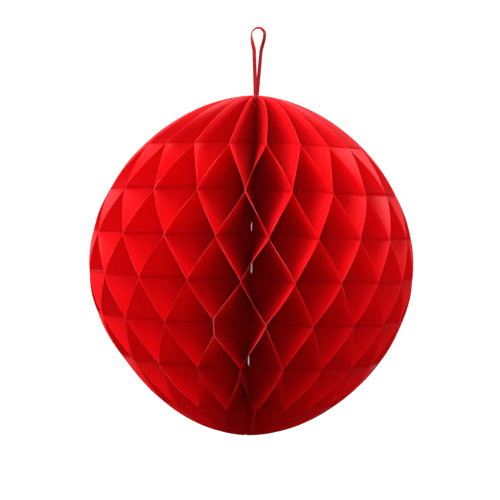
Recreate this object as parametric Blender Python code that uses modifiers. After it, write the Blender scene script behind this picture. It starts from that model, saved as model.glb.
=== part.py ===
"""Paper honeycomb ball, a hanging seasonal decoration.

Forty half-disc paper leaves are glued to their neighbours along level glue lines, on odd lines
and even lines by turns, and stitched together at their straight edges.  Opened all the way round
the stitched spine they pull each other into zigzags, which makes the ball of diamond cells.  Two
card covers close the seam at the back, and a ribbon loop leaves the hollow core at the top.

Metres, +Z up.  The origin is the point the ball hangs from, at the inner top of the ribbon loop.
Azimuth 0 is the front (-Y) and grows towards +X.  The seam is at the back (+Y).
"""
import math

import bmesh
import bpy

# Leaves
CUT_RADIUS = 0.150  # radius of the half-disc the leaves are cut to
SPINE_MARGIN = 0.0075  # taken from the straight edge by the stitching
LEAF_COUNT = 40
LEAF_THICKNESS = 0.0002
CORE_RADIUS = 0.0045  # hollow left inside the opened spine
TIP_WIDTH = 0.0012  # what is left of a leaf at each pole
UNEVEN_SPREAD = 0.117  # how much closer the leaves stand on the +X side

# Glue lines, numbered 1 at the top to 7 at the bottom
GLUE_LINES = 7
GLUE_PITCH = 0.0387
MIDDLE_LINE = -0.0090  # height of line 4 on the flat leaf
LINE_DRIFT = 0.0027  # how far the outer lines sit above an even pitch
GLUE_GAP = 0.0003
EDGE_PULL = 0.15  # how strongly the zigzag draws the outer edge towards the equator

# Covers and the strips that hold them together
COVER_THICKNESS = 0.0005
COVER_INNER_RADIUS = 0.0085  # leaves room for the folded leaves at the spine
SEAM_GAP = 0.0008
STRIP_THICKNESS = 0.0002
STRIP_WIDTH = 0.010
STRIP_LENGTH = 0.045
STRIP_HEIGHTS = {"top": 0.085, "middle": 0.0, "bottom": -0.085}

# Thread and ribbon
THREAD_RADIUS = 0.0005
THREAD_KNOT_RADIUS = 0.0018
RIBBON_KNOT_RADIUS = 0.0034
RIBBON_KNOT_HEIGHT = 0.0030
RIBBON_WIDTH = 0.0030
RIBBON_FOOT = 0.0035  # between the two strands where they leave the core
RIBBON_SPREAD = 0.073  # how fast the two strands part on the way up
LOOP_RADIUS = 0.0060  # bend over the hook
LOOP_RISE = 0.058  # from the top of the leaves to the hanging point
REST_GAP = 0.0003  # between pieces that touch

LEAF_ROWS = (3, 2, 2, 2, 2, 2, 2, 3)  # rows of facets between one glue line and the next
LEAF_COLUMNS = 2

EQUATOR_RADIUS = CUT_RADIUS - SPINE_MARGIN
COVER_PLANE = SEAM_GAP / 2 + COVER_THICKNESS + GLUE_GAP / 2
LEAF_OFFSET = (LEAF_THICKNESS + GLUE_GAP) / 2


def glue_height(line):
    """Height of a glue line on the flat leaf."""
    even = MIDDLE_LINE + (4 - line) * GLUE_PITCH
    return even + LINE_DRIFT * (even / CUT_RADIUS) ** 2


def tip_height(inner_radius):
    """Height at which a sheet that starts at inner_radius has narrowed to its tip."""
    return math.sqrt(CUT_RADIUS**2 - (SPINE_MARGIN + inner_radius + TIP_WIDTH) ** 2)


def row_table(inner_radius):
    """(height on the flat leaf, zigzag share) of each row of vertices, from the top down.

    Past the first and the last glue line the leaves stay together in pairs up to the pole.
    """
    tip = tip_height(inner_radius)
    lines = range(1, GLUE_LINES + 1)
    stops = [(glue_height(line), 1.0 if line % 2 == 0 else -1.0) for line in lines]
    stops.insert(0, (tip, stops[0][1]))
    stops.append((-tip, stops[-1][1]))
    rows = [stops[0]]
    for upper, lower, steps in zip(stops, stops[1:], LEAF_ROWS):
        high = math.asin(upper[0] / CUT_RADIUS)
        low = math.asin(lower[0] / CUT_RADIUS)
        for step in range(1, steps + 1):
            height = CUT_RADIUS * math.sin(high + (low - high) * step / steps)
            share = (upper[0] - height) / (upper[0] - lower[0])
            rows.append((height, upper[1] + (lower[1] - upper[1]) * share))
    return rows


TIP_HEIGHT = tip_height(CORE_RADIUS)
BALL_Z = -LOOP_RISE - TIP_HEIGHT


def outer_radius(height):
    """Distance from the spine to the round edge at a height on the flat leaf."""
    return math.sqrt(CUT_RADIUS**2 - height**2) - SPINE_MARGIN


def opened_height(height, radius):
    """Height of a point of the leaf once the zigzag has drawn it towards the equator."""
    return height * math.sqrt(1.0 - EDGE_PULL * (radius / EQUATOR_RADIUS) ** 2)


def junction_azimuth(index, radius):
    """Azimuth of the boundary after leaf number index; 0 and LEAF_COUNT are the covers' faces."""
    even = index / LEAF_COUNT
    share = even + UNEVEN_SPREAD / math.tau * (1.0 - math.cos(math.tau * even))
    cover = math.asin(COVER_PLANE / radius)
    return -math.pi + cover + (math.tau - 2 * cover) * share


def leaf_azimuth(number, zigzag, radius):
    """Azimuth of a leaf at a radius, where zigzag runs from -1 to 1 on the odd and even lines."""
    before = junction_azimuth(number - 1, radius)
    after = junction_azimuth(number, radius)
    side = zigzag if number % 2 == 0 else -zigzag
    return (before + after) / 2 + side * ((after - before) / 2 - LEAF_OFFSET / radius)


def make_material(name, color, roughness, metallic=0.0):
    material = bpy.data.materials.new(name)
    material.use_nodes = True
    shader = material.node_tree.nodes["Principled BSDF"]
    shader.inputs["Base Color"].default_value = (*color, 1.0)
    shader.inputs["Roughness"].default_value = roughness
    shader.inputs["Metallic"].default_value = metallic
    material.diffuse_color = (*color, 1.0)
    return material


def add_object(name, data, material, location=(0.0, 0.0, 0.0), turn=0.0):
    item = bpy.data.objects.new(name, data)
    item.location = location
    item.rotation_euler = (0.0, 0.0, turn)
    data.materials.append(material)
    collection.objects.link(item)
    return item


def sheet_mesh(name, rows, columns, place):
    """A grid of rows by columns, each vertex put where place(row, share across) says."""
    shape = bmesh.new()
    bmesh.ops.create_grid(shape, x_segments=columns, y_segments=rows, size=0.5)
    for vertex in shape.verts:
        row = round((0.5 - vertex.co.y) * rows)
        share = vertex.co.x + 0.5
        vertex.co = place(row, share)
    bmesh.ops.triangulate(shape, faces=shape.faces, quad_method="FIXED")
    mesh = bpy.data.meshes.new(name)
    shape.to_mesh(mesh)
    shape.free()
    return mesh


def add_thickness(item, thickness):
    solidify = item.modifiers.new("thickness", "SOLIDIFY")
    solidify.thickness = thickness
    solidify.offset = 0.0
    solidify.use_even_offset = True


def add_leaf(number, rows, material):
    """A zigzag leaf, with its origin on the spine and its own X axis along its middle."""
    middle = leaf_azimuth(number, 0.0, EQUATOR_RADIUS)

    def place(row, share):
        height, zigzag = rows[row]
        radius = CORE_RADIUS + share * (outer_radius(height) - CORE_RADIUS)
        turn = leaf_azimuth(number, zigzag, radius) - middle
        return (
            radius * math.cos(turn),
            radius * math.sin(turn),
            opened_height(height, radius),
        )

    name = f"leaf_{number:02d}"
    mesh = sheet_mesh(name, len(rows) - 1, LEAF_COLUMNS, place)
    item = add_object(
        name, mesh, material, location=(0.0, 0.0, BALL_Z), turn=middle - math.pi / 2
    )
    add_thickness(item, LEAF_THICKNESS)
    return item


def add_cover(name, side, material):
    """A flat card half-disc beside the seam; side is -1 or 1."""
    rows = row_table(COVER_INNER_RADIUS)
    middle = side * (SEAM_GAP + COVER_THICKNESS) / 2

    def place(row, share):
        height = rows[row][0]
        radius = COVER_INNER_RADIUS + share * (outer_radius(height) - COVER_INNER_RADIUS)
        return (middle, radius, opened_height(height, radius))

    mesh = sheet_mesh(name, len(rows) - 1, LEAF_COLUMNS, place)
    item = add_object(name, mesh, material, location=(0.0, 0.0, BALL_Z))
    add_thickness(item, COVER_THICKNESS)
    return item


def add_strip(name, height, material):
    """An adhesive strip between the two covers, near their round edge."""
    shape = bmesh.new()
    bmesh.ops.create_cube(shape, size=1.0)
    bmesh.ops.scale(shape, vec=(STRIP_THICKNESS, STRIP_WIDTH, STRIP_LENGTH), verts=shape.verts)
    mesh = bpy.data.meshes.new(name)
    shape.to_mesh(mesh)
    shape.free()
    upper = outer_radius(height + STRIP_LENGTH / 2)
    lower = outer_radius(height - STRIP_LENGTH / 2)
    centre = (upper + lower) / 2 - STRIP_WIDTH
    item = add_object(
        name, mesh, material, location=(0.0, centre, BALL_Z + opened_height(height, centre))
    )
    item.rotation_euler = (-math.atan2(upper - lower, STRIP_LENGTH), 0.0, 0.0)
    return item


def add_knot(name, height, radius, half_height, material):
    """A tied knot on the axis, as a flattened ball."""
    shape = bmesh.new()
    bmesh.ops.create_icosphere(shape, subdivisions=2, radius=radius)
    bmesh.ops.scale(shape, vec=(1.0, 1.0, half_height / radius), verts=shape.verts)
    mesh = bpy.data.meshes.new(name)
    shape.to_mesh(mesh)
    shape.free()
    mesh.shade_smooth()
    return add_object(name, mesh, material, location=(0.0, 0.0, BALL_Z + height))


def add_tube(name, points, radius, material):
    """A round tube along points, with filled ends."""
    curve = bpy.data.curves.new(name, "CURVE")
    curve.dimensions = "3D"
    curve.bevel_depth = radius
    curve.bevel_resolution = 2
    curve.use_fill_caps = True
    spline = curve.splines.new("POLY")
    spline.points.add(len(points) - 1)
    for point, place in zip(spline.points, points):
        point.co = (*place, 1.0)
    return add_object(name, curve, material)


def ribbon_half_width(rise):
    """Half the distance between the two strands, at a height above the leaves."""
    straight = (RIBBON_FOOT + RIBBON_SPREAD * rise) / 2
    start = LOOP_RISE - 0.020
    end = LOOP_RISE + RIBBON_WIDTH / 2 - LOOP_RADIUS
    share = min(max((rise - start) / (end - start), 0.0), 1.0)
    ease = share * share * (3 - 2 * share)
    return straight + (LOOP_RADIUS - straight) * ease


def ribbon_path():
    """The ribbon loop: up one strand, over the hook and down the other."""
    foot = -(TIP_HEIGHT - knot_top)
    shoulder = LOOP_RISE + RIBBON_WIDTH / 2 - LOOP_RADIUS
    strand = []
    for step in range(9):
        rise = foot + (shoulder - foot) * step / 8
        strand.append((ribbon_half_width(max(rise, 0.0)), rise))
    arch = []
    for step in range(1, 8):
        turn = math.pi * step / 8
        arch.append((LOOP_RADIUS * math.cos(turn), shoulder + LOOP_RADIUS * math.sin(turn)))
    far = [(-x, rise) for x, rise in reversed(strand)]
    return [(x, 0.0, rise - LOOP_RISE) for x, rise in strand + arch + far]


for old in list(bpy.data.objects):
    bpy.data.objects.remove(old, do_unlink=True)

collection = bpy.data.collections.new("paper_honeycomb_ball")
bpy.context.scene.collection.children.link(collection)

red_paper = make_material("red_paper", (0.60, 0.007, 0.014), 0.75)
red_card = make_material("red_card", (0.52, 0.008, 0.014), 0.65)
red_satin = make_material("red_satin", (0.62, 0.010, 0.018), 0.35)
white_cotton = make_material("white_cotton", (0.86, 0.83, 0.78), 0.90)
white_adhesive = make_material("white_adhesive", (0.80, 0.80, 0.76), 0.45)

leaf_rows = row_table(CORE_RADIUS)
for leaf_number in range(1, LEAF_COUNT + 1):
    add_leaf(leaf_number, leaf_rows, red_paper)

add_cover("cover_left", -1, red_card)
add_cover("cover_right", 1, red_card)
for strip_name, strip_height in STRIP_HEIGHTS.items():
    add_strip(f"closing_strip_{strip_name}", strip_height, white_adhesive)

knot_top = TIP_HEIGHT - 0.0020
ribbon_knot_z = knot_top - REST_GAP - RIBBON_KNOT_HEIGHT
thread_knot_z = ribbon_knot_z - RIBBON_KNOT_HEIGHT - REST_GAP - THREAD_KNOT_RADIUS
thread_end = thread_knot_z - THREAD_KNOT_RADIUS - REST_GAP
add_knot("ribbon_knot", ribbon_knot_z, RIBBON_KNOT_RADIUS, RIBBON_KNOT_HEIGHT, red_satin)
for end_name, end_side in (("top", 1), ("bottom", -1)):
    add_knot(
        f"thread_knot_{end_name}",
        end_side * thread_knot_z,
        THREAD_KNOT_RADIUS,
        THREAD_KNOT_RADIUS,
        white_cotton,
    )
add_tube(
    "spine_thread",
    [(0.0, 0.0, BALL_Z + side * thread_end) for side in (-1, 0, 1)],
    THREAD_RADIUS,
    white_cotton,
)
add_tube("hanging_ribbon", ribbon_path(), RIBBON_WIDTH / 2, red_satin)
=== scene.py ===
"""Looks of the paper honeycomb ball: forty glued paper leaves, card covers, thread and ribbon.

Metres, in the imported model's frame: the origin is the hanging point, the ball is below it, azimuth 0
is the front (-Y) and grows towards +X, and the seam between the covers is at +Y.
"""

import math

import bmesh
import bpy
from mathutils import Matrix, Vector, noise


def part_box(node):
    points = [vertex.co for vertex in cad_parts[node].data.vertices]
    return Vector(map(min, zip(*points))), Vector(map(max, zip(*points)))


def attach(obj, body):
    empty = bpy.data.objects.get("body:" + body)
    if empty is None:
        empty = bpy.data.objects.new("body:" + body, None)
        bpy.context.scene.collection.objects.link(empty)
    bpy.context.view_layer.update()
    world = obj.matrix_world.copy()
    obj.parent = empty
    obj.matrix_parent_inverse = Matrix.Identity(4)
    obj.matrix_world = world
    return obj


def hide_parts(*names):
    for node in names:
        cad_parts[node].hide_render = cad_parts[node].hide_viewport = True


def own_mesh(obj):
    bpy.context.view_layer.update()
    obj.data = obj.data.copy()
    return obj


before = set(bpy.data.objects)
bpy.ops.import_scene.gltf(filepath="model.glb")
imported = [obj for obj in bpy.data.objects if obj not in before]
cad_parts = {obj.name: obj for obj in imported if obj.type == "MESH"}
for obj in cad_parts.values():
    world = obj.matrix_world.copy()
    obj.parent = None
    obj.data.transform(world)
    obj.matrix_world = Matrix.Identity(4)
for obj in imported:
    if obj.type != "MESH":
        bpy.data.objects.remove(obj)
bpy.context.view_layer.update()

# ---------------------------------------------------------------- dimensions, as in the model
CUT_RADIUS = 0.150  # of the half disc that a leaf is cut as
SPINE_MARGIN = 0.0075  # from its straight edge to the stitches
LEAF_COUNT = 40
UNEVEN_SPREAD = 0.117  # how much wider the cells are on the -X side, and narrower on the +X side
GLUE_LINES = 7
GLUE_PITCH = 0.0387
MIDDLE_LINE = -0.0090  # height of the middle glue line on the leaf
LINE_DRIFT = 0.0027  # how far an evenly spaced glue line would be raised at a pole
EDGE_PULL = 0.15  # how strongly the zigzag draws the round edge towards the equator
SEAM_GAP = 0.0008
COVER_THICKNESS = 0.0005
COVER_INNER_RADIUS = 0.0085
LOOP_RISE = 0.058  # from the top of the leaves to the hanging point
LOOP_RADIUS = 0.0060
RIBBON_WIDTH = 0.0030
CORE_RADIUS = 0.0045
TIP_WIDTH = 0.0012  # of a leaf or a cover at its two tips

EQUATOR_RADIUS = CUT_RADIUS - SPINE_MARGIN
TIP_HEIGHT = math.sqrt(CUT_RADIUS**2 - (SPINE_MARGIN + CORE_RADIUS + TIP_WIDTH) ** 2)
COVER_TIP = math.sqrt(CUT_RADIUS**2 - (SPINE_MARGIN + COVER_INNER_RADIUS + TIP_WIDTH) ** 2)
BALL_Z = -LOOP_RISE - TIP_HEIGHT
BALL_CENTRE = Vector((0.0, 0.0, BALL_Z))

# ---------------------------------------------------------------- the fine surface
PAPER = 0.00020  # thickness of a leaf, with its glue
INNER_RADIUS = 0.0017  # where the stitched edge of a leaf ends
OPENING_RADIUS = 0.0052  # where it ends between two stitches that stand apart
OPENINGS = ((0.0345, 0.0050), (-0.0020, 0.0056), (-0.0840, 0.0050))  # (middle, half height)
KNOT_START = 0.1403  # from this height upwards the core is open for the ribbon's knot
KNOT_EASE = 0.0012  # height over which it opens
LEAF_OFFSET = PAPER / 2 + 0.00003  # from the middle of a leaf to the middle of the glue
COVER_PLANE = SEAM_GAP / 2 + COVER_THICKNESS + 0.00015  # where the space for the leaves starts
FLAT_UNIT = 0.3  # length that is 1 on the map "flat" of a leaf or a cover
HASH_STEP = 12.9898  # this and the next two belong to scatter
HASH_START = 0.731
HASH_GAIN = 43758.5453


def ramp(value, start, length):
    """From 0 at the start to 1 at the end of the length, and level outside."""
    return min(max((value - start) / length, 0.0), 1.0)


def smooth(share):
    """A share from 0 to 1, with a slow start and a slow end."""
    return share * share * (3 - 2 * share)


def scatter(*key):
    """An even spread of values from -1 to 1, the same for the same key."""
    total = sum((position + 1) * HASH_STEP * value for position, value in enumerate(key))
    value = math.sin(total + HASH_START) * HASH_GAIN
    return 2.0 * (value - math.floor(value)) - 1.0


def glue_height(line):
    """Height of a glue line on the flat leaf, counted from the top."""
    even = MIDDLE_LINE + ((GLUE_LINES + 1) // 2 - line) * GLUE_PITCH
    return even + LINE_DRIFT * (even / CUT_RADIUS) ** 2


def outer_radius(height):
    """Distance from the spine to the round edge at a height on the flat leaf."""
    return math.sqrt(max(CUT_RADIUS**2 - height**2, 0.0)) - SPINE_MARGIN


def opened_height(height, radius):
    """Height of a point of the leaf once the zigzag has drawn it towards the equator."""
    return height * math.sqrt(1.0 - EDGE_PULL * (radius / EQUATOR_RADIUS) ** 2)


def junction_azimuth(index, radius):
    """Azimuth of the boundary after leaf number index; 0 and LEAF_COUNT are the covers' faces."""
    even = index / LEAF_COUNT
    share = even + UNEVEN_SPREAD / math.tau * (1.0 - math.cos(math.tau * even))
    cover = math.asin(min(COVER_PLANE / radius, 1.0))
    return -math.pi + cover + (math.tau - 2 * cover) * share


def inner_radius(height):
    """Distance from the spine to the stitched edge, which stands back at the ribbon's knot and where
    the stitches are so far apart that light comes through the core."""
    opening = 0.0
    for middle, half in OPENINGS:
        opening = max(opening, 1.0 - ((height - middle) / half) ** 4)
    radius = INNER_RADIUS + (OPENING_RADIUS - INNER_RADIUS) * max(opening, 0.0) ** 0.5
    share = ramp(height, KNOT_START, KNOT_EASE)
    return max(radius, INNER_RADIUS + (CORE_RADIUS - INNER_RADIUS) * share)


# ---------------------------------------------------------------- camera, at the height of the ball
VIEW_AZIMUTH = math.radians(16.6)
VIEW_ELEVATION = math.radians(2.1)
VIEW_ROLL = math.radians(-1.7)
VIEW_DISTANCE = 11 * EQUATOR_RADIUS
AIM_TILT = math.radians(0.50)
AIM_TURN = math.radians(0.04)
LENS = 128.1
SENSOR_WIDTH = 36.0


def direction(azimuth, elevation):
    """The way from the ball to what stands at an azimuth and an elevation, both in radians."""
    level = math.cos(elevation)
    return Vector((math.sin(azimuth) * level, -math.cos(azimuth) * level, math.sin(elevation)))


camera_data = bpy.data.cameras.new("camera")
camera_data.lens = LENS
camera_data.sensor_width = SENSOR_WIDTH
camera = bpy.data.objects.new("camera", camera_data)
bpy.context.scene.collection.objects.link(camera)
back = direction(VIEW_AZIMUTH, VIEW_ELEVATION)
facing = back.to_track_quat("Z", "Y").to_matrix() @ Matrix.Rotation(-VIEW_ROLL, 3, "Z")
aim = Matrix.Rotation(AIM_TILT, 3, "X") @ Matrix.Rotation(AIM_TURN, 3, "Y")
camera.location = BALL_CENTRE + back * VIEW_DISTANCE
camera.rotation_euler = (facing @ aim).to_euler()
bpy.context.scene.camera = camera


# ---------------------------------------------------------------- material nodes
def new_material(name, roughness, specular, sheen=0.0):
    """A material with its nodes, its links and its shader."""
    material = bpy.data.materials.new(name)
    material.use_nodes = True
    shader = material.node_tree.nodes["Principled BSDF"]
    shader.inputs["Roughness"].default_value = roughness
    shader.inputs["Specular IOR Level"].default_value = specular
    shader.inputs["Sheen Weight"].default_value = sheen
    shader.inputs["Sheen Roughness"].default_value = 0.4
    return material, material.node_tree.nodes, material.node_tree.links, shader


def shade(color, gain, lift=0.0):
    """A colour made darker or lighter."""
    return tuple(min(1.0, part * gain + lift) for part in color)


def flat_place(nodes):
    """The place on the flat sheet or along the ribbon."""
    made = nodes.new("ShaderNodeUVMap")
    made.uv_map = "flat"
    return made.outputs["UV"]


def object_place(nodes):
    """The place in the object, in metres."""
    return nodes.new("ShaderNodeTexCoord").outputs["Object"]


def noise_node(nodes, links, coordinate, scale, detail, roughness=0.55):
    """Cloudy noise over a coordinate."""
    made = nodes.new("ShaderNodeTexNoise")
    made.inputs["Scale"].default_value = scale
    made.inputs["Detail"].default_value = detail
    made.inputs["Roughness"].default_value = roughness
    links.new(coordinate, made.inputs["Vector"])
    return made


def wave_node(nodes, links, coordinate, bands, scale, distortion):
    """Light and dark bands along one axis of a coordinate."""
    made = nodes.new("ShaderNodeTexWave")
    made.bands_direction = bands
    made.inputs["Scale"].default_value = scale
    made.inputs["Distortion"].default_value = distortion
    links.new(coordinate, made.inputs["Vector"])
    return made


def ramp_node(nodes, links, value, *stops):
    """A colour ramp from (place, grey) stops."""
    made = nodes.new("ShaderNodeValToRGB")
    while len(made.color_ramp.elements) < len(stops):
        made.color_ramp.elements.new(0.5)
    for element, (place, grey) in zip(made.color_ramp.elements, stops):
        element.position = place
        element.color = (grey, grey, grey, 1.0)
    links.new(value, made.inputs["Fac"])
    return made.outputs["Color"]


def range_node(nodes, links, value, low, high):
    """A value from 0 to 1, made to run from low to high."""
    made = nodes.new("ShaderNodeMapRange")
    made.inputs["To Min"].default_value = low
    made.inputs["To Max"].default_value = high
    links.new(value, made.inputs["Value"])
    return made.outputs["Result"]


def mix_node(nodes, links, factor, first, second):
    """Mixes two colours; each is a colour or a socket, and factor is a number or a socket."""
    made = nodes.new("ShaderNodeMix")
    made.data_type = "RGBA"
    for place, value in (("Factor", factor), ("A", first), ("B", second)):
        socket = [s for s in made.inputs if s.name == place and s.enabled][0]
        if hasattr(value, "links"):
            links.new(value, socket)
        elif isinstance(value, float):
            socket.default_value = value
        else:
            socket.default_value = (*value, 1.0)
    return [s for s in made.outputs if s.enabled][0]


def multiply_node(nodes, links, first, second):
    """The product of a socket and a number or another socket."""
    made = nodes.new("ShaderNodeMath")
    made.operation = "MULTIPLY"
    for socket, value in zip(made.inputs, (first, second)):
        if hasattr(value, "links"):
            links.new(value, socket)
        else:
            socket.default_value = value
    return made.outputs[0]


def set_bump(nodes, links, shader, height, strength, distance):
    """Fine relief on the shader's surface, up to a distance in metres."""
    bump = nodes.new("ShaderNodeBump")
    bump.inputs["Strength"].default_value = strength
    bump.inputs["Distance"].default_value = distance
    links.new(height, bump.inputs["Height"])
    links.new(bump.outputs["Normal"], shader.inputs["Normal"])


# ---------------------------------------------------------------- materials
PAPER_GLOSS = 0.56
GLUE_GLOSS = 0.10


def paper_material(name, dark, light, edge, roughness, fibre, glow):
    """Dyed paper: clouds, fine fibres, glue lines that are less glossy and darker (partly the glue's
    mark, partly painted crease shade), a worn edge, and light from behind by glow.
    """
    material, nodes, links, shader = new_material(name, roughness, PAPER_GLOSS)
    shader.inputs["Specular Tint"].default_value = (1.0, 0.86, 1.0, 1.0)
    flat = flat_place(nodes)
    distance = nodes.new("ShaderNodeSeparateXYZ")  # its X is the distance from the cut edge
    links.new(flat, distance.inputs["Vector"])
    cloud = noise_node(nodes, links, flat, scale=26.0, detail=3.0)
    fibres = noise_node(nodes, links, flat, scale=900.0 * fibre, detail=2.0, roughness=0.7)
    stretched = nodes.new("ShaderNodeMapping")
    stretched.inputs["Scale"].default_value = (60.0 * fibre, 420.0 * fibre, 1.0)
    links.new(flat, stretched.inputs["Vector"])
    grain = noise_node(nodes, links, stretched.outputs["Vector"], scale=1.0, detail=4.0, roughness=0.6)
    body = mix_node(nodes, links, cloud.outputs["Fac"], dark, light)
    speckle = ramp_node(nodes, links, grain.outputs["Fac"], (0.32, 0.0), (0.72, 1.0))
    softened = multiply_node(nodes, links, speckle, 0.22)
    body = mix_node(nodes, links, softened, body, shade(light, 1.18, 0.004))
    glue = nodes.new("ShaderNodeAttribute")
    glue.attribute_name = "glue"
    # Darker along the glue lines: partly the mark the glue leaves, partly painted shade where the
    # paper creases there.
    glue_mark_and_crease_shade = multiply_node(nodes, links, glue.outputs["Fac"], 0.20)
    body = mix_node(nodes, links, glue_mark_and_crease_shade, body, shade(dark, 0.55))
    worn = ramp_node(nodes, links, distance.outputs["X"], (0.0, 1.0), (0.0009, 0.80), (0.0024, 0.0))
    fray = multiply_node(nodes, links, worn, 0.25)
    body = mix_node(nodes, links, fray, body, edge)
    links.new(body, shader.inputs["Base Color"])
    gloss = range_node(nodes, links, glue.outputs["Fac"], PAPER_GLOSS, GLUE_GLOSS)
    links.new(gloss, shader.inputs["Specular IOR Level"])
    rough = range_node(nodes, links, grain.outputs["Fac"], roughness - 0.08, roughness + 0.08)
    links.new(rough, shader.inputs["Roughness"])
    relief = mix_node(nodes, links, 0.5, fibres.outputs["Color"], grain.outputs["Color"])
    set_bump(nodes, links, shader, relief, 0.25, 0.00006)
    if glow > 0.0:
        behind = nodes.new("ShaderNodeBsdfTranslucent")
        links.new(body, behind.inputs["Color"])
        blend = nodes.new("ShaderNodeMixShader")
        blend.inputs["Fac"].default_value = glow
        links.new(shader.outputs["BSDF"], blend.inputs[1])
        links.new(behind.outputs["BSDF"], blend.inputs[2])
        links.new(blend.outputs["Shader"], nodes["Material Output"].inputs["Surface"])
    return material


def edge_material(name, pale, deep):
    """The cut edge: deep dye with patches where undyed fibres show through in short streaks."""
    material, nodes, links, shader = new_material(name, 0.85, 0.2)
    place = object_place(nodes)
    streak = noise_node(nodes, links, place, scale=900.0, detail=3.0)
    patch = noise_node(nodes, links, place, scale=28.0, detail=2.0)
    bare = ramp_node(nodes, links, patch.outputs["Fac"], (0.52, 0.0), (0.74, 0.65))
    share = multiply_node(nodes, links, bare, streak.outputs["Fac"])
    links.new(mix_node(nodes, links, share, deep, pale), shader.inputs["Base Color"])
    return material


def satin_material(name, color):
    """Satin ribbon: warp threads along it, crossed by a finer weave."""
    material, nodes, links, shader = new_material(name, 0.42, 0.07)
    flat = flat_place(nodes)
    warp = wave_node(nodes, links, flat, "X", scale=4.4, distortion=0.5)
    warp.inputs["Detail Scale"].default_value = 3.0
    cross = wave_node(nodes, links, flat, "Y", scale=9.0, distortion=1.2)
    threads = mix_node(nodes, links, 0.35, warp.outputs["Color"], cross.outputs["Color"])
    woven = mix_node(nodes, links, threads, shade(color, 0.55), shade(color, 1.10, 0.004))
    links.new(woven, shader.inputs["Base Color"])
    set_bump(nodes, links, shader, threads, 0.5, 0.00008)
    return material


def cotton_material(name):
    """White cotton: twisted fibres, a little uneven, with faint red dye rubbed off the paper."""
    material, nodes, links, shader = new_material(name, 0.9, 0.2, sheen=0.3)
    place = object_place(nodes)
    fibres = noise_node(nodes, links, place, scale=2600.0, detail=5.0, roughness=0.7)
    stains = noise_node(nodes, links, place, scale=90.0, detail=2.0)
    spots = ramp_node(nodes, links, stains.outputs["Fac"], (0.52, 0.0), (0.80, 0.35))
    yarn = mix_node(nodes, links, fibres.outputs["Fac"], (0.70, 0.66, 0.60), (0.93, 0.91, 0.88))
    yarn = mix_node(nodes, links, spots, yarn, (0.75, 0.35, 0.33))
    links.new(yarn, shader.inputs["Base Color"])
    set_bump(nodes, links, shader, fibres.outputs["Fac"], 0.6, 0.00008)
    return material


def adhesive_material(name):
    """Milky adhesive strip with small trapped bubbles."""
    material, nodes, links, shader = new_material(name, 0.42, 0.45)
    cells = nodes.new("ShaderNodeTexVoronoi")
    cells.inputs["Scale"].default_value = 700.0
    links.new(object_place(nodes), cells.inputs["Vector"])
    bubbles = ramp_node(nodes, links, cells.outputs["Distance"], (0.10, 1.0), (0.35, 0.0))
    color = mix_node(nodes, links, bubbles, (0.78, 0.77, 0.72), (0.93, 0.93, 0.91))
    links.new(color, shader.inputs["Base Color"])
    set_bump(nodes, links, shader, bubbles, 0.3, 0.0001)
    return material


red_paper = paper_material(
    "red_paper",
    dark=(0.700, 0.0006, 0.0032),
    light=(0.790, 0.0018, 0.0066),
    edge=(0.80, 0.012, 0.016),
    roughness=0.42,
    fibre=1.0,
    glow=0.36,
)
red_card = paper_material(
    "red_card",
    dark=(0.47, 0.004, 0.008),
    light=(0.55, 0.008, 0.013),
    edge=(0.62, 0.09, 0.09),
    roughness=0.52,
    fibre=0.6,
    glow=0.0,
)
paper_edge = edge_material("paper_edge", pale=(0.90, 0.34, 0.36), deep=(0.52, 0.006, 0.011))
card_edge = edge_material("card_edge", pale=(0.66, 0.30, 0.27), deep=(0.45, 0.05, 0.05))
red_satin = satin_material("red_satin", (0.34, 0.0015, 0.0045))
white_cotton = cotton_material("white_cotton")
white_adhesive = adhesive_material("white_adhesive")

# ---------------------------------------------------------------- building blocks
CORNER_ANGLE = math.radians(20)
MILLIMETRES = 1000  # in a metre: the map "flat" of a swept piece is in millimetres


def add_piece(name, mesh, body, slot, *materials):
    """A finished piece, with its materials, that rides on a body; the slot argument is not used."""
    for material in materials:
        mesh.materials.append(material)
    for face in mesh.polygons:
        face.use_smooth = True
    piece = bpy.data.objects.new(name, mesh)
    bpy.context.scene.collection.objects.link(piece)
    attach(piece, body)
    return piece


def add_thickness(piece, thickness):
    """Thickens a sheet evenly to both sides, with its second material on the cut edges."""
    solidify = piece.modifiers.new("thickness", "SOLIDIFY")
    solidify.thickness = thickness
    solidify.offset = 0.0
    solidify.material_offset_rim = 1
    corners = piece.modifiers.new("corners", "EDGE_SPLIT")
    corners.split_angle = CORNER_ANGLE


def finished_mesh(name, shape):
    """The mesh of a shape, which is freed."""
    mesh = bpy.data.meshes.new(name)
    shape.to_mesh(mesh)
    shape.free()
    return mesh


def sheet_mesh(name, rows, columns, place):
    """A grid, each vertex put where place(row, column) says, as (point, flat place, glue)."""
    shape = bmesh.new()
    flat_layer = shape.loops.layers.uv.new("flat")
    glue_layer = shape.verts.layers.float.new("glue")
    grid = []
    flats = {}
    for row in range(rows + 1):
        line = []
        for column in range(columns + 1):
            point, flat, glue = place(row, column)
            vertex = shape.verts.new(point)
            vertex[glue_layer] = glue
            flats[vertex] = flat
            line.append(vertex)
        grid.append(line)
    for row in range(rows):
        for column in range(columns):
            corners = (
                grid[row][column],
                grid[row + 1][column],
                grid[row + 1][column + 1],
                grid[row][column + 1],
            )
            face = shape.faces.new(corners)
            for loop in face.loops:
                loop[flat_layer].uv = flats[loop.vert]
    return finished_mesh(name, shape)


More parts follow.
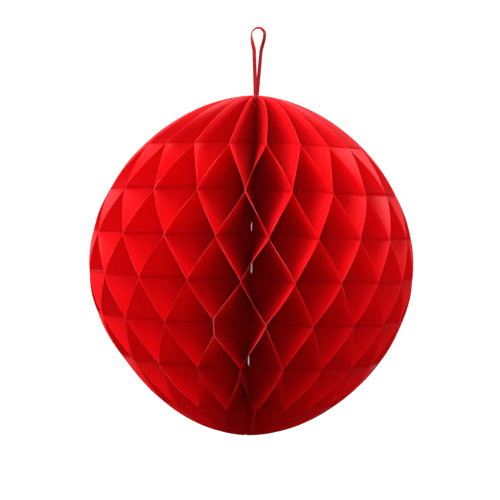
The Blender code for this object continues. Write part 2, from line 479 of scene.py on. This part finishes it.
def swept_mesh(name, frames, section, closed=False):
    """A section of (across, out) places, swept along (point, across, out) frames."""
    shape = bmesh.new()
    flat_layer = shape.loops.layers.uv.new("flat")
    rings = []
    lengths = []
    along = 0.0
    for number, (point, across, out) in enumerate(frames):
        if number:
            along += (point - frames[number - 1][0]).length
        lengths.append(along)
        rings.append([shape.verts.new(point + across * a + out * b) for a, b in section])
    count = len(section)
    total = len(rings)
    width = 2 * max(a for a, _ in section)
    for number in range(total if closed else total - 1):
        after = (number + 1) % total
        for side in range(count):
            around = (side + 1) % count
            corners = (
                rings[number][side],
                rings[number][around],
                rings[after][around],
                rings[after][side],
            )
            face = shape.faces.new(corners)
            spots = ((number, side), (number, side + 1), (number + 1, side + 1), (number + 1, side))
            for loop, (ring, spot) in zip(face.loops, spots):
                here = lengths[ring] if ring < total else along
                flat = (spot / count * width * MILLIMETRES, here * MILLIMETRES)
                loop[flat_layer].uv = flat
    if not closed:
        shape.faces.new(rings[0])
        shape.faces.new(list(reversed(rings[-1])))
    bmesh.ops.recalc_face_normals(shape, faces=shape.faces)
    return finished_mesh(name, shape)


# ---------------------------------------------------------------- the ribbon loop
TAPE_WIDTH = 0.0033
TAPE_ROLL = math.radians(55)  # how far the tape is turned over the hook
TAPE_CUP = 0.00010
TAPE_HALF_THICKNESS = 0.00013
SELVEDGE_EXTRA = 0.00006
SELVEDGE_START = 0.7  # as a share of the half width
RIBBON_FOOT = -0.0018  # height of the ends of the ribbon, from the top of the leaves
LOOP_SHOULDER = LOOP_RISE + RIBBON_WIDTH / 2 - LOOP_RADIUS  # where the round top begins
STRAND_HALF_GAP = 0.00068  # between the two strands at the leaves
STRAND_SPREAD = 0.0625  # how the gap grows with the height
SPREAD_START = LOOP_RISE - 0.020  # from here the strands run out to the round top
STRAND_OVERLAP = 0.00028  # how far one strand lies in front of the other at the leaves
OVERLAP_HEIGHT = 0.022
STRAND_STEPS = 48
ARCH_STEPS = 24
ROLL_START = 0.040
ROLL_LENGTH = 0.014
NEAR_LEAN = 0.72  # how far the first strand is turned from the front, in radians
FAR_LEAN = -0.30  # and the second


def ribbon_half_width(rise):
    """Half the distance between the two strands, at a height above the leaves."""
    straight = STRAND_HALF_GAP + STRAND_SPREAD * rise
    share = ramp(rise, SPREAD_START, LOOP_SHOULDER - SPREAD_START)
    return straight + (LOOP_RADIUS - straight) * smooth(share)


def ribbon_line():
    """Points of the loop: up one strand, over the hook and down the other."""
    strand = []
    for step in range(STRAND_STEPS + 1):
        rise = RIBBON_FOOT + (LOOP_SHOULDER - RIBBON_FOOT) * step / STRAND_STEPS
        overlap = STRAND_OVERLAP * max(0.0, 1.0 - max(rise, 0.0) / OVERLAP_HEIGHT)
        strand.append((ribbon_half_width(max(rise, 0.0)), overlap, rise))
    arch = []
    for step in range(1, ARCH_STEPS):
        turn = math.pi * step / ARCH_STEPS
        reach = LOOP_RADIUS * math.cos(turn)
        arch.append((reach, 0.0, LOOP_SHOULDER + LOOP_RADIUS * math.sin(turn)))
    far = [(-x, -y, rise) for x, y, rise in reversed(strand)]
    return [Vector((x, y, rise - LOOP_RISE)) for x, y, rise in strand + arch + far]


def ribbon_frames(points):
    """Each strand leans its own way where it leaves the core, and the tape is rolled over the hook."""
    front_to_back = Vector((0.0, 1.0, 0.0))
    frames = []
    for number, point in enumerate(points):
        before = points[max(number - 1, 0)]
        after = points[min(number + 1, len(points) - 1)]
        along = (after - before).normalized()
        rise = point.z + LOOP_RISE
        share = ramp(rise, ROLL_START, ROLL_LENGTH)
        lean = NEAR_LEAN if number < len(points) / 2 else FAR_LEAN
        lean = (lean + 0.08 * math.sin(rise * 210.0 + lean)) * (1.0 - share)
        turn = TAPE_ROLL * smooth(share) + lean
        sideways = front_to_back.cross(along)
        across = sideways * math.cos(turn) + front_to_back * math.sin(turn)
        frames.append((point, across.normalized(), along.cross(across).normalized()))
    return frames


def ribbon_section():
    """A thin satin tape, a little cupped, with thicker woven edges."""
    half = TAPE_WIDTH / 2
    steps = 8
    upper = []
    for step in range(steps + 1):
        across = -half + 2 * half * step / steps
        share = abs(across) / half
        cup = TAPE_CUP * (1 - share * share)
        edge = max(0.0, (share - SELVEDGE_START) / (1 - SELVEDGE_START))
        upper.append((across, cup, TAPE_HALF_THICKNESS + SELVEDGE_EXTRA * edge))
    top = [(across, cup + thick) for across, cup, thick in upper]
    bottom = [(across, cup - thick) for across, cup, thick in reversed(upper)]
    return top + bottom


ribbon_points = ribbon_line()
ribbon = add_piece(
    "ribbon_loop",
    swept_mesh("ribbon_loop", ribbon_frames(ribbon_points), ribbon_section()),
    "left_cover",
    "red_satin",
    red_satin,
)
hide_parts("hanging_ribbon")

# ---------------------------------------------------------------- the leaves
ROWS_PER_CELL = 14
TIP_ROWS = 12
LEAF_COLUMNS = 16
ROW_CROWDING = 0.105  # how far the rows of a cell crowd towards its two glue lines
LONG_CONTACT = (19, 5)  # (junction, line) of a spot where two leaves are stuck over a long stretch
LONG_HALF_HEIGHT = 0.0070
LONG_DROP = -0.0020
CONTACT_HALF_HEIGHT = 0.0008
CONTACT_SPREAD = 0.0003
SHIFT_SPREAD = 0.0045  # in radians
DROP_SPREAD = 0.0005
GLUE_HALF_WIDTH = 0.0014  # half the height of the glue band, which is less glossy and darker, partly as the glue's mark and partly as painted crease shade
CREASE_ROUNDING = 0.06  # how softly the paper bends at a glue line, from 0 to 1
CROSSING_SLANT = 3.6  # how much sooner a leaf crosses its cell where the cell narrows
TIP_BULGE = 0.055  # sideways bow of a leaf between its last glue line and its tip, in radians
TIP_SWING = 1.95  # how far up a sine the push near a pole goes by the tip, in radians
TOP_PUSH = 0.11  # in radians
TOP_PUSH_AZIMUTH = 0.54
TOP_PUSH_WIDTH = 0.5
BOTTOM_PART_AZIMUTH = 0.31  # where the paper parts, near the bottom
BOTTOM_PART_WIDTH = 0.3
BELLY = 0.0008  # greatest bow of the paper between two glue lines
RIPPLE = 0.0005
RIM_WAVE = 0.00025  # unevenness of the cut edge
RIM_WIDTH = 0.02
WORN_WIDTH = 0.0007  # of the column of vertices along the cut edge
DENT_DEPTH = 0.0048
DENT_HEIGHT = -0.098
DENT_RISE = 0.034
DENT_AZIMUTH = -1.05
DENT_WIDTH = 0.60  # in radians


def contact_half_height(junction, line):
    """Half the height over which two leaves are stuck together on a glue line."""
    if (junction, line) == LONG_CONTACT:
        return LONG_HALF_HEIGHT
    return CONTACT_HALF_HEIGHT + CONTACT_SPREAD * scatter(junction, line, 3)


def contact_shift(junction, line):
    """How far a glued spot has strayed round the ball, as an angle."""
    if junction in (0, LEAF_COUNT):
        return 0.0
    return SHIFT_SPREAD * scatter(junction, line, 5)


def contact_drop(junction, line):
    """How far a glued spot has strayed in height."""
    if (junction, line) == LONG_CONTACT:
        return LONG_DROP
    return DROP_SPREAD * scatter(junction, line, 11)


def leaf_stops(number):
    """(top, bottom, junction, side, line) of each place where a leaf is stuck to a neighbour."""
    stops = []
    for line in range(1, GLUE_LINES + 1):
        above = (number + line) % 2 == 0
        junction = number if above else number - 1
        middle = glue_height(line) + contact_drop(junction, line)
        half = contact_half_height(junction, line)
        stops.append((middle + half, middle - half, junction, -1 if above else 1, line))
    return stops


def tip_heights(start, end):
    """Heights of the rows from one height to another, evenly spaced along the round edge."""
    first = math.asin(start / CUT_RADIUS)
    last = math.asin(end / CUT_RADIUS)
    turns = [first + (last - first) * step / TIP_ROWS for step in range(1, TIP_ROWS + 1)]
    return [CUT_RADIUS * math.sin(turn) for turn in turns]


def leaf_heights(stops):
    """Heights of the rows of vertices, close together where the leaf bends, from the top down."""
    heights = [TIP_HEIGHT] + tip_heights(TIP_HEIGHT, stops[0][0])
    for stop, following in zip(stops, stops[1:] + [None]):
        steps = 6 if stop[0] - stop[1] > LONG_HALF_HEIGHT else 2
        for step in range(1, steps + 1):
            heights.append(stop[0] + (stop[1] - stop[0]) * step / steps)
        if following is None:
            break
        for step in range(1, ROWS_PER_CELL + 1):
            share = step / ROWS_PER_CELL
            share = share - ROW_CROWDING * math.sin(math.tau * share)
            heights.append(stop[1] + (following[0] - stop[1]) * share)
    return heights + tip_heights(stops[-1][1], -TIP_HEIGHT)


def glued_azimuth(stop, radius):
    """Azimuth of the leaf where it is stuck, at a radius."""
    junction, side, line = stop[2:]
    place = junction_azimuth(junction, radius) + contact_shift(junction, line)
    return place + side * LEAF_OFFSET / radius


def polar_shift(azimuth, top):
    """How far paper near a pole has been pushed round the ball: to the right at the top, and to both
    sides of the front at the bottom."""
    if top:
        return TOP_PUSH * math.exp(-(((azimuth - TOP_PUSH_AZIMUTH) / TOP_PUSH_WIDTH) ** 2))
    away = azimuth - BOTTOM_PART_AZIMUTH
    return away * math.exp(-((away / BOTTOM_PART_WIDTH) ** 2))


def tip_azimuth(stop, height, radius, edge, tip):
    """Azimuth between the last glued spot, which ends at the height edge, and the tip beyond it."""
    place = glued_azimuth(stop, radius)
    share = (height - edge) / (tip - edge)
    bulge = -TIP_BULGE * math.sin(2 * place) * math.sin(math.pi * share)
    bulge += polar_shift(place, tip > 0) * math.sin(TIP_SWING * share)
    return place + bulge


def crossing_azimuth(number, stop, following, height, radius):
    """Azimuth where the leaf crosses its cell from one glued spot down to the next."""
    share = (stop[1] - height) / (stop[1] - following[0])
    swing = 0.5 - 0.5 * math.cos(math.pi * share)
    ease = (1.0 - CREASE_ROUNDING) * share + CREASE_ROUNDING * swing
    upper = outer_radius(stop[1])
    lower = outer_radius(following[0])
    ease += CROSSING_SLANT * share * (1 - share) * (lower - upper) / (lower + upper)
    first = glued_azimuth(stop, radius)
    second = glued_azimuth(following, radius)
    middle = math.sin(math.pi * share) ** 2
    belly = BELLY * scatter(number, stop[4], 7) * middle * (radius / EQUATOR_RADIUS) ** 2
    ripple = noise.noise(Vector((radius * 30, height * 30, number * 3.7)))
    ripple *= RIPPLE * middle * radius / EQUATOR_RADIUS
    return first + (second - first) * ease + (belly + ripple) / radius


def leaf_azimuth(number, stops, height, radius):
    """(azimuth, glue) of a point of the leaf."""
    top_edge = stops[0][0]
    bottom_edge = stops[-1][1]
    if height >= top_edge:
        return tip_azimuth(stops[0], height, radius, top_edge, TIP_HEIGHT), 0.0
    if height <= bottom_edge:
        return tip_azimuth(stops[-1], height, radius, bottom_edge, -TIP_HEIGHT), 0.0
    for stop, following in zip(stops, stops[1:]):
        if height >= stop[1]:
            glued = abs(height - (stop[0] + stop[1]) / 2) < GLUE_HALF_WIDTH
            return glued_azimuth(stop, radius), float(glued)
        if height > following[0]:
            return crossing_azimuth(number, stop, following, height, radius), 0.0
    return glued_azimuth(stops[-1], radius), 0.0


def leaf_radius(height, column):
    """Radius of a vertex, with one narrow column of worn paper along the cut edge."""
    outer = outer_radius(height)
    if column == LEAF_COLUMNS:
        return outer
    inner = inner_radius(height)
    share = column / (LEAF_COLUMNS - 1)
    band = min(WORN_WIDTH, 0.2 * (outer - inner))
    return inner + share * (outer - band - inner)


def dent(height, azimuth):
    """How far the leaves have been pressed in, low on the -X side, where the ball once lay."""
    up = (height - DENT_HEIGHT) / DENT_RISE
    along = (azimuth - DENT_AZIMUTH) / DENT_WIDTH
    return DENT_DEPTH * math.exp(-(up**2) - along**2)


def add_leaf(number):
    """One leaf, which turns on its own body."""
    stops = leaf_stops(number)
    heights = leaf_heights(stops)

    def place(row, column):
        height = heights[row]
        outer = outer_radius(height)
        flat_radius = leaf_radius(height, column)
        azimuth, glue = leaf_azimuth(number, stops, height, flat_radius)
        rim = max(0.0, 1.0 - (outer - flat_radius) / RIM_WIDTH)
        wave = noise.noise(Vector((height * 60, number * 5.1, 0.0)))
        radius = flat_radius + RIM_WAVE * rim * wave
        radius -= dent(height, azimuth) * radius / outer
        point = (
            radius * math.sin(azimuth),
            -radius * math.cos(azimuth),
            BALL_Z + opened_height(height, min(radius, outer)),
        )
        flat = ((outer - flat_radius) / FLAT_UNIT, height / FLAT_UNIT + number)
        return point, flat, glue

    name = f"paper_leaf_{number:02d}"
    mesh = sheet_mesh(name, len(heights) - 1, LEAF_COLUMNS, place)
    leaf = add_piece(name, mesh, f"leaf_{number:02d}_body", "red_paper", red_paper, paper_edge)
    add_thickness(leaf, PAPER)
    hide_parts(f"leaf_{number:02d}")
    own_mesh(leaf)


for leaf_number in range(1, LEAF_COUNT + 1):
    add_leaf(leaf_number)

# ---------------------------------------------------------------- covers and closing strips
COVER_ROWS = 72
COVER_COLUMNS = 12
COVER_WORN_WIDTH = 0.0008
COVER_BOW = 0.00006
STRIP_LENGTH = 0.045
STRIP_WIDTH = 0.010
STRIP_THICKNESS = 0.00016
STRIP_ROWS = 24
STRIP_COLUMNS = 20
STRIP_WAVE = 0.00002
SAW_TOOTH = 0.00035
LEAN_GAIN = 1.12  # from the extra width of a leaning strip's box to how far its ends lie apart across


def add_cover(name, node, body, side):
    """One card cover, a half disc that stops short of the spine."""
    middle = side * (SEAM_GAP + COVER_THICKNESS) / 2
    last = COVER_COLUMNS - 1

    def place(row, column):
        turn = math.asin(COVER_TIP / CUT_RADIUS) * (1 - 2 * row / COVER_ROWS)
        height = CUT_RADIUS * math.sin(turn)
        outer = outer_radius(height)
        radius = COVER_INNER_RADIUS + min(column / last, 1.0) * (outer - COVER_INNER_RADIUS)
        if column == last:
            radius = outer - min(COVER_WORN_WIDTH, 0.2 * (outer - COVER_INNER_RADIUS))
        bow = COVER_BOW * noise.noise(Vector((radius * 25, height * 25, side * 9.0)))
        point = (middle + side * abs(bow), radius, BALL_Z + opened_height(height, radius))
        return point, ((outer - radius) / FLAT_UNIT, height / FLAT_UNIT), 0.0

    mesh = sheet_mesh(name, COVER_ROWS, COVER_COLUMNS, place)
    cover = add_piece(name, mesh, body, "red_card", red_card, card_edge)
    add_thickness(cover, COVER_THICKNESS)
    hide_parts(node)


def add_strip(place_name, lean):
    """An adhesive strip with saw-cut ends, between the covers, that leans with their round edge."""
    low, high = (Vector(corner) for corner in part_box(f"closing_strip_{place_name}"))
    centre = (low + high) / 2
    apart = (high.y - low.y - STRIP_WIDTH) * LEAN_GAIN
    slope = math.acos(min(1.0, STRIP_LENGTH / math.hypot(STRIP_LENGTH, apart)))
    turn = Matrix.Rotation(lean * slope, 3, "X")

    def place(row, column):
        across = -STRIP_WIDTH / 2 + STRIP_WIDTH * column / STRIP_COLUMNS
        tooth = SAW_TOOTH * (column % 2) if row in (0, STRIP_ROWS) else 0.0
        along = (0.5 - row / STRIP_ROWS) * (STRIP_LENGTH - 2 * tooth)
        spot = turn @ Vector((0.0, across, along))
        point = centre + Vector((STRIP_WAVE * math.sin(row * 1.3 + column), spot.y, spot.z))
        return point, (across, along), 0.0

    name = f"adhesive_strip_{place_name}"
    mesh = sheet_mesh(name, STRIP_ROWS, STRIP_COLUMNS, place)
    strip = add_piece(name, mesh, "left_cover", "white_adhesive", white_adhesive)
    add_thickness(strip, STRIP_THICKNESS)
    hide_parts(f"closing_strip_{place_name}")


add_cover("card_cover_left", "cover_left", "left_cover", -1)
add_cover("card_cover_right", "cover_right", "right_cover", 1)
add_strip("top", 1.0)
add_strip("middle", 0.0)
add_strip("bottom", -1.0)

# ---------------------------------------------------------------- thread and knots
THREAD_ASIDE = 0.0010  # how far the thread lies right of the core's middle, seen from the camera
THREAD_RADIUS = 0.00047
THREAD_STEPS = 720
THREAD_WANDER = 0.00012
PLY_COUNT = 3
PLY_DEPTH = 0.16  # of the grooves between the plies, as a share of the radius
TWIST_PITCH = 0.0042
KNOT_STEPS = 96


def round_section(steps, across, out, lobes=0, depth=0.0):
    """An oval section, across and out being its radii, with lobes round it."""
    ring = []
    for step in range(steps):
        turn = math.tau * step / steps
        reach = 1.0 + depth * math.cos(lobes * turn)
        ring.append((across * reach * math.cos(turn), out * reach * math.sin(turn)))
    return ring


def ring_frames(points):
    """(point, across, out) at each point of a closed line, turned as little as possible along it."""
    frames = []
    across = None
    for number, point in enumerate(points):
        along = (points[(number + 1) % len(points)] - points[number - 1]).normalized()
        if across is None:
            across = along.orthogonal()
        across = (across - along * across.dot(along)).normalized()
        frames.append((point, across.copy(), along.cross(across)))
    return frames


def add_thread():
    """Three plies twisted together, lying along one side of the core."""
    low, high = (Vector(corner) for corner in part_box("spine_thread"))
    right = Vector((math.cos(VIEW_AZIMUTH), math.sin(VIEW_AZIMUTH), 0.0))
    frames = []
    for step in range(THREAD_STEPS + 1):
        height = low.z + (high.z - low.z) * step / THREAD_STEPS
        wander = Vector((math.sin(height * 70), math.cos(height * 53), 0.0)) * THREAD_WANDER
        point = Vector((0.0, 0.0, height)) + wander + right * THREAD_ASIDE
        turn = height * math.tau / TWIST_PITCH
        across = Vector((math.cos(turn), math.sin(turn), 0.0))
        frames.append((point, across, Vector((-math.sin(turn), math.cos(turn), 0.0))))
    section = round_section(15, THREAD_RADIUS, THREAD_RADIUS, PLY_COUNT, PLY_DEPTH)
    mesh = swept_mesh("spine_thread_twisted", frames, section)
    thread = add_piece("spine_thread_twisted", mesh, "left_cover", "white_cotton", white_cotton)
    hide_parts("spine_thread")


def add_knot(name, node, slot, material, thickness, flatness, size=1.0):
    """An overhand knot pulled tight in the space of its node."""
    low, high = (Vector(corner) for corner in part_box(node))
    centre = (low + high) / 2
    reach = (high - low) / 2 * size
    inner = reach - Vector((thickness, thickness, thickness * flatness))
    points = []
    for step in range(KNOT_STEPS):
        turn = math.tau * step / KNOT_STEPS
        spread = (2.0 + math.cos(3 * turn)) / 3
        trefoil = (spread * math.cos(2 * turn), spread * math.sin(2 * turn), math.sin(3 * turn))
        points.append(centre + inner * Vector(trefoil))
    section = round_section(12, thickness, thickness * flatness)
    mesh = swept_mesh(name, ring_frames(points), section, closed=True)
    knot = add_piece(name, mesh, "left_cover", slot, material)
    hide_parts(node)


add_thread()
add_knot("thread_knot_upper", "thread_knot_top", "white_cotton", white_cotton, 0.00050, 1.0, 0.85)
add_knot("thread_knot_lower", "thread_knot_bottom", "white_cotton", white_cotton, 0.00050, 1.0, 0.85)
add_knot("ribbon_knot_tied", "ribbon_knot", "red_satin", red_satin, 0.0012, 0.75)

# ---------------------------------------------------------------- room and light
FLOOR_HEIGHT = -1.15
FLOOR_RADIUS = 2.2
CORNER_RADIUS = 1.1  # of the curve between the floor and the wall
CORNER_STEPS = 16
WALL_TOP = 8.0
ROOM_SIDES = 96
BACKDROP_GLOW = 0.66


def add_room():
    """A pale floor that curves up into a round wall. It is bright to the camera, but neither lights
    the ball nor is mirrored in it."""
    profile = [(0.0, 0.0), (1.6, 0.0), (FLOOR_RADIUS, 0.0)]
    for step in range(1, CORNER_STEPS + 1):
        turn = math.pi / 2 * step / CORNER_STEPS
        radius = FLOOR_RADIUS + CORNER_RADIUS * math.sin(turn)
        profile.append((radius, CORNER_RADIUS - CORNER_RADIUS * math.cos(turn)))
    profile.append((FLOOR_RADIUS + CORNER_RADIUS, WALL_TOP))
    shape = bmesh.new()
    line = [shape.verts.new((radius, 0.0, height)) for radius, height in profile]
    edges = [shape.edges.new(pair) for pair in zip(line, line[1:])]
    bmesh.ops.spin(
        shape, geom=line + edges, cent=(0, 0, 0), axis=(0, 0, 1), angle=math.tau, steps=ROOM_SIDES
    )
    bmesh.ops.remove_doubles(shape, verts=shape.verts, dist=0.0005)
    bmesh.ops.recalc_face_normals(shape, faces=shape.faces)
    mesh = finished_mesh("room", shape)
    for face in mesh.polygons:
        face.use_smooth = True
    material, nodes, links, shader = new_material("pale_paint", 0.9, 0.1)
    height = nodes.new("ShaderNodeSeparateXYZ")
    links.new(object_place(nodes), height.inputs["Vector"])
    rise = ramp_node(nodes, links, height.outputs["Z"], (0.0, 0.0), (0.7, 1.0))
    color = mix_node(nodes, links, rise, (0.60, 0.60, 0.60), (0.93, 0.93, 0.93))
    links.new(color, shader.inputs["Base Color"])
    shader.inputs["Emission Color"].default_value = (1.0, 1.0, 1.0, 1.0)
    shader.inputs["Emission Strength"].default_value = BACKDROP_GLOW
    mesh.materials.append(material)
    room = bpy.data.objects.new("room", mesh)
    room.location = (0.0, 0.0, FLOOR_HEIGHT)
    room.visible_diffuse = False
    room.visible_glossy = False
    bpy.context.scene.collection.objects.link(room)


def add_light(name, azimuth, elevation, distance, size, power):
    """A round soft box that faces the ball, at degrees round from the camera and up."""
    away = direction(VIEW_AZIMUTH + math.radians(azimuth), math.radians(elevation))
    light_data = bpy.data.lights.new(name, "AREA")
    light_data.shape = "DISK"
    light_data.size = size
    light_data.energy = power
    light = bpy.data.objects.new(name, light_data)
    light.location = BALL_CENTRE + away * distance
    light.rotation_euler = away.to_track_quat("Z", "Y").to_euler()
    light.visible_camera = False
    bpy.context.scene.collection.objects.link(light)


add_room()
add_light("key_high", -50, 50, 1.9, 0.8, 12.0)
add_light("key_low", -60, 25, 1.9, 0.8, 32.0)
add_light("key_front", -30, 25, 1.9, 0.8, 13.0)
add_light("side_left", -80, 5, 1.9, 0.8, 23.0)
add_light("front", 0, 3, 1.9, 0.3, 16.0)
add_light("front_high", 0, 35, 1.9, 0.8, 5.0)
add_light("side_right", 70, 25, 1.9, 0.8, 16.5)
add_light("rim_right", 100, 30, 1.9, 0.8, 25.0)
add_light("overhead", 0, 89, 1.7, 1.0, 21.0)
add_light("back_left", -140, 20, 1.9, 0.9, 11.0)
add_light("back", 180, 15, 1.9, 0.9, 9.0)
add_light("back_right", 140, 20, 1.9, 0.9, 9.0)

world = bpy.data.worlds.new("studio")
world.use_nodes = True
world.node_tree.nodes["Background"].inputs["Color"].default_value = (1.0, 1.0, 1.0, 1.0)
world.node_tree.nodes["Background"].inputs["Strength"].default_value = 0.0
bpy.context.scene.world = world
bpy.context.scene.view_settings.view_transform = "Standard"
